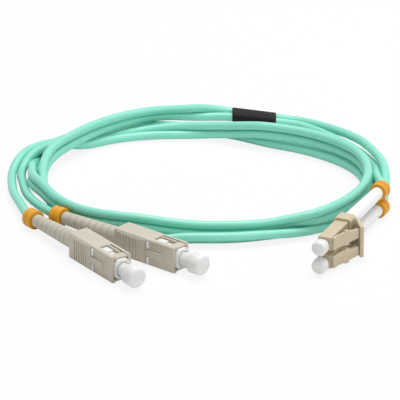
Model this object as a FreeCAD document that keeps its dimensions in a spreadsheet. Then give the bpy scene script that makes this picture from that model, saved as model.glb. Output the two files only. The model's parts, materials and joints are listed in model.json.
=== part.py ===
"""Duplex fibre patch cord: two single square plugs on one end, a clipped pair of small plugs on
the other, and two 3 mm strands that run side by side through a loose coil."""
import FreeCAD, Part, Sketcher

import math
import os
import re

Vector = FreeCAD.Vector

doc = FreeCAD.newDocument("patch_cord")
sheet = doc.addObject("Spreadsheet::Sheet", "Sizes")
sums = doc.addObject("Spreadsheet::Sheet", "Sums")

# Driving dimensions in millimetres, each with what it measures
DIMENSIONS = [
    ("cord_diameter", 3.0, "jacket of one strand"),
    ("strand_pitch", 3.4, "between the middles of the two strands"),
    ("slip", 0.1, "clearance round what slides or passes through"),
    ("grip_length", 25.5, "square plug grip"),
    ("grip_width", 7.4, "grip across its two window faces"),
    ("grip_height", 9.0, "grip from window face to window face"),
    ("grip_corner", 0.5, "rounding of the long edges of the grip"),
    ("grip_flare", 0.35, "how far the ribbed rear stands out"),
    ("grip_flare_length", 13.5, "ribbed rear of the grip"),
    ("rib_count", 6, "grip ribs on each side"),
    ("rib_pitch", 1.35, "between grip ribs"),
    ("rib_width", 0.7, "one grip rib"),
    ("rib_depth", 0.3, "how far a rib stands out"),
    ("key_length", 6.4, "key bar on the key face"),
    ("key_width", 1.9, "key bar across"),
    ("key_depth", 0.8, "key bar above the face"),
    ("key_front", 5.0, "from the grip front to the key bar"),
    ("mark_width", 0.9, "insertion mark groove"),
    ("mark_depth", 0.15, "insertion mark groove"),
    ("window_front", 3.0, "from the grip front to the window"),
    ("window_length", 6.8, "window along the plug"),
    ("window_width", 3.2, "window across the plug"),
    ("slot_width", 0.8, "narrow slot beside the window"),
    ("slot_bar", 0.6, "bar between window and slot"),
    ("bridge_depth", 0.4, "recess of the bridge in front of the window"),
    ("grip_travel", 2.0, "how far the grip slides back"),
    ("frame_width", 5.2, "inner frame across"),
    ("frame_height", 6.8, "inner frame, tall side"),
    ("frame_front", 1.2, "inner frame beyond the grip front"),
    ("frame_length", 19.0, "inner frame"),
    ("frame_chamfer", 1.0, "corners of the inner frame"),
    ("frame_bore", 5.0, "front bore of the inner frame"),
    ("frame_bore_depth", 11.0, "front bore of the inner frame"),
    ("boss_length", 3.4, "latch boss in the window"),
    ("boss_width", 2.4, "latch boss across"),
    ("boss_height", 0.7, "latch boss above the frame"),
    ("boss_front", 5.8, "from the grip front to the latch boss"),
    ("ferrule_diameter", 2.5, "ferrule of the square plug"),
    ("ferrule_front", 7.0, "ferrule tip beyond the grip front"),
    ("ferrule_length", 10.5, "ferrule of the square plug"),
    ("flange_diameter", 4.2, "ferrule flange"),
    ("flange_length", 2.0, "ferrule flange"),
    ("flange_tube", 2.4, "tube behind the flange"),
    ("flange_tube_length", 7.0, "tube behind the flange"),
    ("spring_wall", 0.5, "hidden spring, as a sleeve"),
    ("spring_length", 5.0, "spring at rest"),
    ("stop_diameter", 4.6, "threaded stop body"),
    ("stop_length", 9.0, "threaded stop body"),
    ("crimp_diameter", 4.4, "crimp ring"),
    ("crimp_length", 9.5, "crimp ring"),
    ("boot_front_diameter", 6.1, "square plug boot at the plug"),
    ("boot_rear_diameter", 4.3, "square plug boot at the cord"),
    ("boot_length", 25.5, "square plug boot behind the grip"),
    ("boot_seat", 2.4, "boot inside the grip"),
    ("boot_ring_count", 7, "flex grooves of the boot"),
    ("boot_ring_pitch", 2.9, "between the flex grooves"),
    ("boot_ring_gap", 0.7, "flex groove at its mouth"),
    ("boot_ring_depth", 0.45, "depth of a flex groove"),
    ("boot_rear_plain", 3.4, "plain end of the boot at the cord"),
    ("cap_diameter", 7.0, "dust cap knob of the square plug"),
    ("cap_length", 5.4, "dust cap knob of the square plug"),
    ("cap_middle", 7.4, "knob middle beyond the grip front"),
    ("cap_neck_diameter", 4.7, "dust cap neck"),
    ("cap_neck_depth", 1.6, "dust cap neck inside the frame"),
    ("marker_inner", 3.2, "marker clip inside"),
    ("marker_outer", 6.4, "marker clip of the square plug, outside"),
    ("small_marker_outer", 6.0, "marker clip of the small plug, outside"),
    ("marker_width", 4.0, "marker clip along the cord"),
    ("marker_gap", 2.6, "opening of the marker clip"),
    ("marker_tail", 2.2, "tail of the marker clip"),
    ("marker_groove", 0.5, "groove over the marker clip"),
    ("marker_offset", 2.5, "from the boot end to the clip middle"),
    ("small_body_length", 16.5, "small plug body"),
    ("small_body_width", 4.6, "small plug body from latch side to back"),
    ("small_body_height", 4.5, "small plug body"),
    ("small_corner", 0.3, "rounding of the small plug body"),
    ("small_pitch", 6.25, "between the two small plugs"),
    ("small_bore", 3.2, "front bore of the small plug"),
    ("small_bore_depth", 10.0, "front bore of the small plug"),
    ("small_ferrule_diameter", 1.25, "ferrule of the small plug"),
    ("small_ferrule_front", 4.4, "ferrule tip beyond the body front"),
    ("small_ferrule_length", 8.4, "ferrule of the small plug"),
    ("small_flange_diameter", 2.7, "flange of the small plug"),
    ("small_flange_length", 1.4, "flange of the small plug"),
    ("small_flange_tube", 1.5, "tube behind the small flange"),
    ("small_flange_tube_length", 5.0, "tube behind the small flange"),
    ("small_spring_wall", 0.4, "hidden spring of the small plug, as a sleeve"),
    ("small_spring_length", 3.0, "spring of the small plug at rest"),
    ("small_rear_diameter", 3.6, "rear body of the small plug"),
    ("small_rear_bore", 1.9, "bore of the rear body"),
    ("small_neck_diameter", 2.6, "neck of the rear body under its crimp"),
    ("small_neck_length", 5.0, "neck of the rear body behind the plug"),
    ("small_crimp_wall", 0.3, "crimp sleeve of the small plug"),
    ("small_collar_diameter", 4.0, "small boot inside the duplex clip"),
    ("small_crimp_length", 6.0, "crimp sleeve of the small plug"),
    ("small_boot_length", 28.5, "small plug boot behind the duplex clip"),
    ("small_boot_front", 4.9, "small boot at the plug"),
    ("small_boot_rear", 4.1, "small boot at the cord"),
    ("small_cap_diameter", 5.1, "dust cap knob of the small plug"),
    ("small_cap_length", 4.2, "dust cap knob of the small plug"),
    ("small_cap_middle", 3.7, "knob middle beyond the body front"),
    ("small_cap_neck", 2.9, "dust cap neck of the small plug"),
    ("latch_face", 0.4, "from the body front to the latch block"),
    ("latch_length", 12.2, "latch from its block to its end"),
    ("latch_rise", 4.75, "latch end above the body"),
    ("latch_thickness", 0.95, "latch arm"),
    ("latch_root_width", 4.3, "latch across, from its block to its shoulders"),
    ("latch_rear_width", 3.8, "latch across, behind its shoulders"),
    ("latch_tip_width", 2.8, "latch across at its end"),
    ("latch_shoulder_width", 5.2, "locking shoulders across"),
    ("latch_shoulder_length", 1.5, "locking shoulders along the arm"),
    ("latch_shoulder_front", 6.6, "from the body front to the shoulders"),
    ("latch_front", 1.6, "from the body front to the latch pivot"),
    ("latch_width", 2.2, "latch pivot across"),
    ("latch_pivot_diameter", 1.2, "rolled root of the latch arm"),
    ("duplex_wall", 0.8, "duplex clip wall"),
    ("duplex_length", 5.0, "duplex clip along the plugs"),
    ("duplex_front", 15.0, "from the body front to the duplex clip"),
    ("duplex_corner", 1.4, "rounding of the duplex clip"),
    ("trigger_thickness", 1.2, "sloping trigger plate"),
    ("trigger_height", 10.6, "trigger plate across both latches"),
    ("trigger_reach", 6.75, "trigger plate from its pivot"),
    ("trigger_gap", 0.35, "between the trigger plate and the latch ends"),
    ("trigger_pin", 1.0, "hinge pin of the trigger"),
    ("ear_length", 1.9, "hinge ear of the duplex clip along the plugs"),
    ("ear_height", 2.0, "hinge ear above the clip"),
    ("ear_width", 1.2, "hinge ear across"),
    ("sleeve_length", 14.0, "breakout sleeve on the pair"),
    ("sleeve_wall", 0.35, "breakout sleeve"),
    ("coil_middle_left", -2.57, "coil middle from the origin, to the right"),
    ("coil_middle_back", 19.04, "coil middle from the origin, to the back"),
]
for row, (alias, value, meaning) in enumerate(DIMENSIONS, start=1):
    sheet.set("A%d" % row, alias)
    sheet.set("B%d" % row, "%g" % value)
    sheet.set("C%d" % row, meaning)
    sheet.setAlias("B%d" % row, alias)
doc.recompute()


def size(alias):
    """A driving dimension, read from the sheet."""
    return float(sheet.get(alias))


def bind(text):
    """The sheet's name is put before each alias of an expression."""
    return re.sub(r"[a-z]+(?:_[a-z]+)*", lambda word: "Sizes." + word.group(0), text)


def tie(thing, prop, value):
    """A property takes a number, or an expression of the sheet's aliases."""
    if isinstance(value, str):
        thing.setExpression(prop, bind(value))
    else:
        thing.setExpression(prop, "%.6f" % value)


# Plain pieces, each corner and size given as a number or as an expression

def block(name, low, extent):
    thing = doc.addObject("Part::Box", name)
    for prop, value in zip(("Length", "Width", "Height"), extent):
        tie(thing, prop, value)
    for axis, value in zip("xyz", low):
        tie(thing, "Placement.Base." + axis, value)
    return thing


def rod(name, start, diameter, length, side="x", middle=(0, 0)):
    """A cylinder along x, or along z when side is z."""
    thing = doc.addObject("Part::Cylinder", name)
    half = "(%s) / 2" % diameter
    tie(thing, "Radius", half)
    tie(thing, "Height", length)
    if side == "x":
        thing.Placement = FreeCAD.Placement(Vector(), FreeCAD.Rotation(Vector(0, 1, 0), 90))
        places = (start,) + middle
    else:
        places = middle + (start,)
    for axis, value in zip("xyz", places):
        tie(thing, "Placement.Base." + axis, value)
    return thing


def cut(name, base, *tools):
    """The tools are taken away from the base."""
    tool = tools[0] if len(tools) == 1 else join(name + "Tools", *tools)
    thing = doc.addObject("Part::Cut", name)
    thing.Base = base
    thing.Tool = tool
    return thing


def join(name, *things):
    thing = doc.addObject("Part::MultiFuse", name)
    thing.Shapes = list(things)
    return thing


def rounded(name, base, radius):
    """The long edges of a block, those along x, are rounded."""
    doc.recompute()
    thing = doc.addObject("Part::Fillet", name)
    thing.Base = base
    edges = []
    for number, edge in enumerate(base.Shape.Edges, start=1):
        if abs(edge.tangentAt(edge.FirstParameter).x) > 0.99:
            edges.append((number, size(radius), size(radius)))
    thing.Edges = edges
    return thing


def sketch_on(body, name, role, corners):
    """A closed outline on an origin plane, each corner bound to the sheet."""
    plane = [face for face in body.Origin.OriginFeatures if face.Role == role][0]
    drawing = body.newObject("Sketcher::SketchObject", name)
    drawing.AttachmentSupport = (plane, [""])
    drawing.MapMode = "FlatFace"
    spots = []
    for corner in corners:
        spots.append([number_of(value) for value in corner])
    for index, spot in enumerate(spots):
        after = spots[(index + 1) % len(spots)]
        drawing.addGeometry(Part.LineSegment(Vector(spot[0], spot[1], 0), Vector(after[0], after[1], 0)), False)
    total = len(corners)
    for index in range(total):
        drawing.addConstraint(Sketcher.Constraint("Coincident", index, 2, (index + 1) % total, 1))
    for index, corner in enumerate(corners):
        for kind, value, given in zip(("DistanceX", "DistanceY"), spots[index], corner):
            number = drawing.addConstraint(Sketcher.Constraint(kind, -1, 1, index, 1, value))
            if isinstance(given, str):
                drawing.setExpression("Constraints[%d]" % number, bind(given))
    return drawing


def number_of(value):
    """What an expression of aliases comes to."""
    if not isinstance(value, str):
        return float(value)
    words = re.sub(r"[a-z]+(?:_[a-z]+)*", lambda word: "%.9g" % size(word.group(0)), value)
    return arithmetic(words)


def arithmetic(text):
    """Sums, differences, products and quotients, worked out by a sheet."""
    sums.set("A1", "=" + text)
    sums.recompute()
    return float(sums.get("A1"))


def turned(name, corners):
    """A body turned about x: each corner is a place along x and a radius."""
    body = doc.addObject("PartDesign::Body", name)
    drawing = sketch_on(body, name + "Profile", "XY_Plane", corners)
    turn = body.newObject("PartDesign::Revolution", name + "Turn")
    turn.Profile = drawing
    turn.ReferenceAxis = (drawing, ["H_Axis"])
    turn.Angle = 360
    drawing.Visibility = False
    return body


def pushed(name, role, corners, length):
    """A body pushed both ways out of an outline, the same on each side."""
    body = doc.addObject("PartDesign::Body", name)
    drawing = sketch_on(body, name + "Profile", role, corners)
    pad = body.newObject("PartDesign::Pad", name + "Pad")
    pad.Profile = drawing
    pad.Midplane = True
    tie(pad, "Length", length)
    return body


finished = []


def keep(thing, label, place):
    """A finished sub-part gets its label and its place."""
    doc.recompute()
    thing.Label = label
    thing.Placement = place.multiply(thing.Placement)
    finished.append(thing)
    return thing


# Places of the plugs, from the middle of the coil

COIL_MIDDLE = Vector(size("coil_middle_left"), size("coil_middle_back"), 0)
NEAR_FRONT = (-25.4, -86.8)
NEAR_HEADING = -56.0
FAR_FRONT = (-6.2, -78.3)
FAR_HEADING = -41.0
PAIR_FRONT = (40.3, -77.8)
PAIR_HEADING = -113.5
NEAR_BOOT_DROOP = 2.6


def plug_place(front, heading, height):
    """Where a plug's front middle stands, with x along the plug."""
    turn = FreeCAD.Rotation(Vector(0, 0, 1), heading)
    return FreeCAD.Placement(COIL_MIDDLE + Vector(front[0], front[1], height), turn)


def drooped(place, pivot, angle):
    """The boot and its clip turn down about a point on the plug's axis."""
    turn = FreeCAD.Placement(Vector(), FreeCAD.Rotation(Vector(0, 1, 0), -angle), Vector(pivot, 0, 0))
    return place.multiply(turn)


def square_grip(tag, place):
    """Outer grip: ribbed rear, key bar, two windows, and a bore for the frame and the boot."""
    n = tag + "Grip"
    front = rounded(n + "Front", block(
        n + "Block", ("-grip_length", "-grip_width / 2", "-grip_height / 2"),
        ("grip_length", "grip_width", "grip_height")), "grip_corner")
    rear = rounded(n + "Rear", block(
        n + "Flare", ("-grip_length + 0.8", "-grip_width / 2 - grip_flare", "-grip_height / 2 + 0.4"),
        ("grip_flare_length - 0.8", "grip_width + 2 * grip_flare", "grip_height - 0.8")), "grip_corner")
    parts = [front, rear]
    for index in range(int(size("rib_count"))):
        parts.append(block(
            n + "Rib%d" % index,
            ("-grip_length + 3.2 + rib_pitch * %d" % index, "-grip_width / 2 - grip_flare - rib_depth",
             "-grip_height / 2 + 0.9"),
            ("rib_width", "grip_width + 2 * (grip_flare + rib_depth)", "grip_height - 1.8")))
    parts.append(block(
        n + "Key", ("-key_front - key_length", "-grip_width / 2 - key_depth", "-key_width / 2"),
        ("key_length", "key_depth + 0.5", "key_width")))
    tools = [block(
        n + "Bore", ("-frame_length + frame_front - grip_travel - 0.5", "-frame_width / 2 - slip", "-frame_height / 2 - slip"),
        ("frame_length + grip_travel + 1.5", "frame_width + 2 * slip", "frame_height + 2 * slip"))]
    tools.append(rod(n + "RearBore", "-grip_length - 1", "boot_front_diameter + 4 * slip", "grip_length + 1 - frame_length + frame_front"))
    for side, low in (("Top", "grip_height / 2 - 2.5"), ("Bottom", "-grip_height / 2 - 0.5")):
        tools.append(block(
            n + side + "Window", ("-window_front - window_length", "-window_width / 2 - 0.5", low),
            ("window_length", "window_width", "3.0")))
        tools.append(block(
            n + side + "Slot", ("-window_front - window_length", "window_width / 2 - 0.5 + slot_bar", low),
            ("window_length", "slot_width", "3.0")))
    for side, low in (("Top", "grip_height / 2 - bridge_depth"), ("Bottom", "-grip_height / 2 - 1")):
        tools.append(block(
            n + side + "Bridge", ("-window_front", "-window_width / 2 - 0.5", low),
            ("window_front + 1", "window_width + slot_bar + slot_width", "bridge_depth + 1")))
    for side, low in (("Upper", "key_width / 2 + 0.5"), ("Lower", "-grip_height / 2 + 0.7")):
        tools.append(block(
            n + side + "Mark", ("-key_front - key_length", "-grip_width / 2 - 0.5", low),
            ("mark_width", "mark_depth + 0.5", "grip_height / 2 - key_width / 2 - 1.2")))
    keep(cut(n, join(n + "Solid", *parts), *tools), "sc_%s_grip" % tag, place)


def square_frame(tag, place):
    """White inner frame with cut corners, a bore and a latch boss in each window."""
    n = tag + "Frame"
    half_width, half_height = "frame_width / 2", "frame_height / 2"
    outline = [
        ("%s - frame_chamfer" % half_width, half_height), (half_width, "%s - frame_chamfer" % half_height),
        (half_width, "-%s + frame_chamfer" % half_height), ("%s - frame_chamfer" % half_width, "-" + half_height),
        ("-%s + frame_chamfer" % half_width, "-" + half_height), ("-" + half_width, "-%s + frame_chamfer" % half_height),
        ("-" + half_width, "%s - frame_chamfer" % half_height), ("-%s + frame_chamfer" % half_width, half_height)]
    bar = pushed(n + "Bar", "YZ_Plane", outline, "frame_length")
    doc.recompute()
    bar.Placement = FreeCAD.Placement(Vector(size("frame_front") - size("frame_length") / 2, 0, 0), FreeCAD.Rotation())
    bosses = []
    for side, low in (("Top", "frame_height / 2 - 0.4"), ("Bottom", "-frame_height / 2 - boss_height")):
        bosses.append(block(
            n + side + "Boss", ("-boss_front - boss_length", "-boss_width / 2 - 0.5", low),
            ("boss_length", "boss_width", "boss_height + 0.4")))
    bore = rod(n + "Bore", "frame_front - frame_bore_depth", "frame_bore", "frame_bore_depth + 1")
    back = rod(n + "Back", "frame_front - frame_length - 1", "stop_diameter + 2 * slip", "frame_length - frame_bore_depth + 1.5")
    keep(cut(n, join(n + "Solid", bar, *bosses), bore, back), "sc_%s_plug_frame" % tag, place)


def square_inside(tag, place):
    """Ferrule, flange, spring, stop body and crimp ring on the plug's axis."""
    tip = "ferrule_front"
    root = "ferrule_front - ferrule_length"
    keep(turned(tag + "Ferrule", [
        (root, 0), (tip, 0), (tip, "ferrule_diameter / 2 - 0.3"), (tip + " - 0.5", "ferrule_diameter / 2"),
        (root, "ferrule_diameter / 2")]), "sc_%s_ferrule" % tag, place)
    back = root + " - flange_length"
    end = back + " - flange_tube_length"
    keep(turned(tag + "Flange", [
        (end, 0), (root, 0), (root, "flange_diameter / 2"), (back, "flange_diameter / 2"),
        (back, "flange_tube / 2"), (end, "flange_tube / 2")]), "sc_%s_ferrule_flange" % tag, place)
    coil = back + " - spring_length"
    keep(turned(tag + "Spring", [
        (coil, "flange_tube / 2 + slip"), (back + " - 0.1", "flange_tube / 2 + slip"),
        (back + " - 0.1", "flange_tube / 2 + slip + spring_wall"), (coil, "flange_tube / 2 + slip + spring_wall")]),
        "sc_%s_spring" % tag, place)
    stop = coil + " - 0.1"
    stop_end = stop + " - stop_length"
    keep(turned(tag + "Stop", [
        (stop_end, "flange_tube / 2 + 2 * slip"), (stop, "flange_tube / 2 + 2 * slip"), (stop, "stop_diameter / 2"),
        (stop + " - stop_length / 2", "stop_diameter / 2"), (stop + " - stop_length / 2", "stop_diameter / 2 - 0.5"),
        (stop_end, "stop_diameter / 2 - 0.5")]), "sc_%s_stop_body" % tag, place)
    ring = stop + " - stop_length / 2 - 0.2"
    keep(turned(tag + "Crimp", [
        (ring + " - crimp_length", "stop_diameter / 2 - 0.5 + slip"), (ring, "stop_diameter / 2 - 0.5 + slip"),
        (ring, "crimp_diameter / 2 + 0.1"), (ring + " - crimp_length", "crimp_diameter / 2 + 0.1")]),
        "sc_%s_crimp_ring" % tag, place)


def square_boot(tag, place):
    """Tapered boot with flex grooves between a plain seat and a plain end."""
    front = -size("grip_length") + size("boot_seat")
    rear = -size("grip_length") - size("boot_length")
    large, small = size("boot_front_diameter") / 2, size("boot_rear_diameter") / 2
    bore = size("cord_diameter") / 2 + size("slip")
    inner = size("crimp_diameter") / 2 + 0.2
    crimp_end = -size("grip_length") - 3.0
    taper_start = -size("grip_length") - 1.0

    def radius(place_on_axis):
        share = (taper_start - place_on_axis) / (taper_start - rear)
        return large + (small - large) * min(max(share, 0.0), 1.0)

    corners = [(front, inner), (front, large), (taper_start, large)]
    first = rear + size("boot_rear_plain") + size("boot_ring_pitch") * (size("boot_ring_count") - 1)
    for index in range(int(size("boot_ring_count"))):
        at = first - size("boot_ring_pitch") * index
        half = size("boot_ring_gap") / 2
        corners += [(at + half, radius(at + half)), (at, radius(at) - size("boot_ring_depth")), (at - half, radius(at - half))]
    corners += [(rear, small), (rear, bore), (crimp_end, bore), (crimp_end, inner)]
    keep(turned(tag + "Boot", corners), "sc_%s_boot" % tag, place)


def dust_cap(tag, label, place, knob, long, middle, neck, front, depth, bore, ferrule_tip):
    """A barrel knob with rounded ends on a hollow neck that slips over the ferrule."""
    half = "%s / 2" % long
    start, end = "%s - %s" % (middle, half), "%s + %s" % (middle, half)
    keep(turned(tag + "Cap", [
        ("%s - %s" % (front, depth), "%s / 2 + 0.05" % bore), ("%s - %s" % (front, depth), "%s / 2" % neck),
        (start, "%s / 2" % neck), (start, "%s / 2 - 0.7" % knob), (start + " + 0.25", "%s / 2 - 0.25" % knob),
        (start + " + 0.8", "%s / 2" % knob), (end + " - 1.0", "%s / 2" % knob), (end + " - 0.35", "%s / 2 - 0.35" % knob),
        (end, "%s / 2 - 1.1" % knob), (end, 0), (ferrule_tip + " + 0.3", 0),
        (ferrule_tip + " + 0.3", "%s / 2 + 0.05" % bore)]), label, place)


def marker_clip(tag, label, place, boot_end, opening, outer, tailed):
    """An open ring round the cord, with a groove over its back, and on some a squared tail."""
    n = tag + "Marker"
    start = "%s - marker_offset - marker_width / 2" % boot_end
    ring = rod(n + "Ring", start, outer, "marker_width")
    groove = cut(n + "Groove", rod(n + "Wide", start + " + marker_width / 2 - marker_groove / 2", outer + " + 2", "marker_groove"),
                 rod(n + "Narrow", start + " - 1", outer + " - marker_groove", "marker_width + 2"))
    solids = [ring]
    if tailed:
        solids.append(block(
            n + "Tail", (start, "marker_gap / 2", "-%s / 2 + 0.05" % outer), ("marker_width", "marker_tail - 0.8", "1.5")))
    hole = rod(n + "Hole", start + " - 1", "marker_inner", "marker_width + 2")
    gap = block(n + "Gap", (start + " - 1", "-marker_gap / 2", "-" + outer), ("marker_width + 2", "marker_gap", outer))
    whole = join(n + "Solid", *solids) if tailed else ring
    clip = cut(n, whole, groove, hole, gap)
    roll = FreeCAD.Placement(Vector(), FreeCAD.Rotation(Vector(1, 0, 0), opening))
    keep(clip, label, place.multiply(roll))


def square_plug(tag, front, heading, droop):
    """A whole single plug with its boot, dust cap and marker clip."""
    place = plug_place(front, heading, size("grip_height") / 2)
    square_grip(tag, place)
    square_frame(tag, place)
    square_inside(tag, place)
    tail = drooped(place, -size("grip_length"), droop)
    square_boot(tag, tail)
    dust_cap(tag, "sc_%s_dust_cap" % tag, place, "cap_diameter", "cap_length", "cap_middle", "cap_neck_diameter",
             "frame_front", "cap_neck_depth", "ferrule_diameter", "ferrule_front")
    marker_clip(tag, "sc_%s_marker_clip" % tag, tail, "-grip_length - boot_length", 40.0, "marker_outer", True)
    return place, tail


def small_body(tag, place):
    """Small plug body, square outside, with a stepped bore and a notch for the latch root."""
    n = tag + "Body"
    base = rounded(n + "Round", block(
        n + "Block", ("-small_body_length", "-small_body_width / 2", "-small_body_height / 2"),
        ("small_body_length", "small_body_width", "small_body_height")), "small_corner")
    front = rod(n + "Front", "-small_bore_depth", "small_bore", "small_bore_depth + 1")
    back = rod(n + "Back", "-small_body_length - 1", "small_rear_diameter + 2 * slip", "small_body_length - small_bore_depth + 1.2")
    notch = block(
        n + "Notch", ("-latch_front - latch_pivot_diameter / 2 - slip - 0.8", "small_body_width / 2 - latch_pivot_diameter / 2 + 0.1", "-latch_width / 2 - slip"),
        ("latch_pivot_diameter + 2 * slip + 0.8", "latch_pivot_diameter", "latch_width + 2 * slip"))
    keep(cut(n, base, front, back, notch), "lc_%s_body" % tag, place)


def latch(tag, place):
    """Springy arm: a block at the body front, a rising arm with locking shoulders, and a rolled root."""
    n = tag + "Latch"
    side = size("small_body_width") / 2
    lift = side + size("latch_pivot_diameter") / 2 - 0.25
    thick = size("latch_thickness")
    face = -size("latch_face")
    end = face - size("latch_length")
    top = side + size("latch_rise")
    under = side + size("slip")
    arm = pushed(n + "Arm", "XY_Plane", [
        (face, under), (face, under + thick - 0.2), (face - 0.4, under + thick), (face - 2.8, under + thick + 0.15),
        (end + 0.6, top), (end, top - 0.05), (end, top - thick), (face - 2.4, under + 0.15)], "latch_shoulder_width")
    root, rear, tip = size("latch_root_width") / 2, size("latch_rear_width") / 2, size("latch_tip_width") / 2
    shoulder = size("latch_shoulder_width") / 2 + 0.01
    front = -size("latch_shoulder_front")
    back = front - size("latch_shoulder_length")
    half = [(face + 1, root), (front, root), (front, shoulder), (back, shoulder), (back, rear), (end - 1, tip)]
    plan = pushed(n + "Plan", "XZ_Plane", half + [(x, -z) for x, z in half[::-1]], "4 * small_body_width")
    both = doc.addObject("Part::MultiCommon", n + "Both")
    both.Shapes = [arm, plan]
    pivot = rod(n + "Pivot", "-latch_width / 2", "latch_pivot_diameter - slip", "latch_width", "z", ("-latch_front", lift))
    keep(join(n, both, pivot), "lc_%s_latch" % tag, place)


def small_inside(tag, place):
    """Ferrule, flange, spring, rear body and crimp sleeve of a small plug."""
    tip = "small_ferrule_front"
    root = "small_ferrule_front - small_ferrule_length"
    keep(turned(tag + "Ferrule", [
        (root, 0), (tip, 0), (tip, "small_ferrule_diameter / 2 - 0.15"), (tip + " - 0.3", "small_ferrule_diameter / 2"),
        (root, "small_ferrule_diameter / 2")]), "lc_%s_ferrule" % tag, place)
    back = root + " - small_flange_length"
    end = back + " - small_flange_tube_length"
    keep(turned(tag + "Flange", [
        (end, 0), (root, 0), (root, "small_flange_diameter / 2"), (back, "small_flange_diameter / 2"),
        (back, "small_flange_tube / 2"), (end, "small_flange_tube / 2")]), "lc_%s_ferrule_flange" % tag, place)
    coil = back + " - small_spring_length"
    keep(turned(tag + "Spring", [
        (coil, "small_flange_tube / 2 + slip"), (back + " - 0.1", "small_flange_tube / 2 + slip"),
        (back + " - 0.1", "small_flange_tube / 2 + slip + small_spring_wall"),
        (coil, "small_flange_tube / 2 + slip + small_spring_wall")]), "lc_%s_spring" % tag, place)
    stop = coil + " - 0.1"
    stop_end = "-small_body_length - small_neck_length"
    keep(turned(tag + "Stop", [
        (stop_end, "small_rear_bore / 2"), (stop, "small_rear_bore / 2"), (stop, "small_bore / 2 - slip"),
        ("-small_bore_depth - 0.2", "small_bore / 2 - slip"), ("-small_bore_depth - 0.2", "small_rear_diameter / 2"),
        ("-small_body_length", "small_rear_diameter / 2"), ("-small_body_length", "small_neck_diameter / 2"),
        (stop_end, "small_neck_diameter / 2")]), "lc_%s_rear_body" % tag, place)
    ring = "-small_body_length - 0.2"
    keep(turned(tag + "Crimp", [
        (ring + " - small_crimp_length", "small_neck_diameter / 2 + slip"), (ring, "small_neck_diameter / 2 + slip"),
        (ring, "small_neck_diameter / 2 + slip + small_crimp_wall"),
        (ring + " - small_crimp_length", "small_neck_diameter / 2 + slip + small_crimp_wall")]),
        "lc_%s_crimp_sleeve" % tag, place)


def small_boot(tag, place):
    """Smooth tapered boot with a collar behind the duplex clip."""
    front = -size("small_body_length") - 0.4
    collar = -size("duplex_front") - size("duplex_length") - 0.2
    rear = collar - size("small_boot_length") + 2.0
    crimp_end = front - size("small_crimp_length") - 0.2
    inner = "small_neck_diameter / 2 + 2 * slip + small_crimp_wall"
    keep(turned(tag + "Boot", [
        (front, inner), (front, "small_collar_diameter / 2"), (collar, "small_collar_diameter / 2"),
        (collar, "small_boot_front / 2"), (collar - 3.0, "small_boot_front / 2"), (rear, "small_boot_rear / 2"),
        (rear, "cord_diameter / 2 + slip"), (crimp_end, "cord_diameter / 2 + slip"), (crimp_end, inner)]),
        "lc_%s_boot" % tag, place)
    return rear


def small_plug(tag, height):
    """A whole small plug."""
    place = plug_place(PAIR_FRONT, PAIR_HEADING, height)
    small_body(tag, place)
    latch(tag, place)
    small_inside(tag, place)
    rear = small_boot(tag, place)
    dust_cap(tag, "lc_%s_dust_cap" % tag, place, "small_cap_diameter", "small_cap_length", "small_cap_middle", "small_cap_neck",
             "0.0", "1.4", "small_ferrule_diameter", "small_ferrule_front")
    marker_clip(tag, "lc_%s_marker_clip" % tag, place, "%.3f" % rear, -45.0, "small_marker_outer", False)
    return place, rear


EARS = (("LowerEar", "-0.6"), ("UpperEar", "small_pitch - 0.6"))
HINGE = ("-duplex_front - duplex_length + ear_length / 2", "small_body_width / 2 + duplex_wall + ear_height / 2")


def duplex_clip(low_place):
    """Clip that holds both small plugs at their pitch, open towards the back side."""
    n = "Duplex"
    outer = rounded(n + "Round", block(
        n + "Block", ("-duplex_front - duplex_length", "-small_body_width / 2 - duplex_wall", "-small_body_height / 2 - duplex_wall"),
        ("duplex_length", "small_body_width + 2 * duplex_wall", "small_pitch + small_body_height + 2 * duplex_wall")), "duplex_corner")
    tools = []
    for name, low in (("Lower", "-small_body_height / 2 - slip"), ("Upper", "small_pitch - small_body_height / 2 - slip")):
        tools.append(block(
            n + name, ("-small_body_length - slip", "-small_body_width / 2 - slip", low),
            ("duplex_length", "small_body_width + 2 * slip", "small_body_height + 2 * slip")))
    for name, middle in (("LowerBoot", "0.0"), ("UpperBoot", "small_pitch")):
        tools.append(rod(n + name, "-duplex_front - duplex_length - 1", "small_collar_diameter + 2 * slip", "duplex_length + 2", "x", ("0.0", middle)))
    ears = []
    for name, low in EARS:
        ears.append(block(
            n + name, ("-duplex_front - duplex_length", "small_body_width / 2 + duplex_wall - 0.2", low),
            ("ear_length", "ear_height + 0.2", "ear_width")))
    hinge = rod(n + "Hinge", "-small_body_height", "trigger_pin + 2 * slip", "small_pitch + 2 * small_body_height", "z", HINGE)
    keep(cut(n, join(n + "Solid", cut(n + "Shell", outer, *tools), *ears), hinge), "duplex_clip", low_place)


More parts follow.
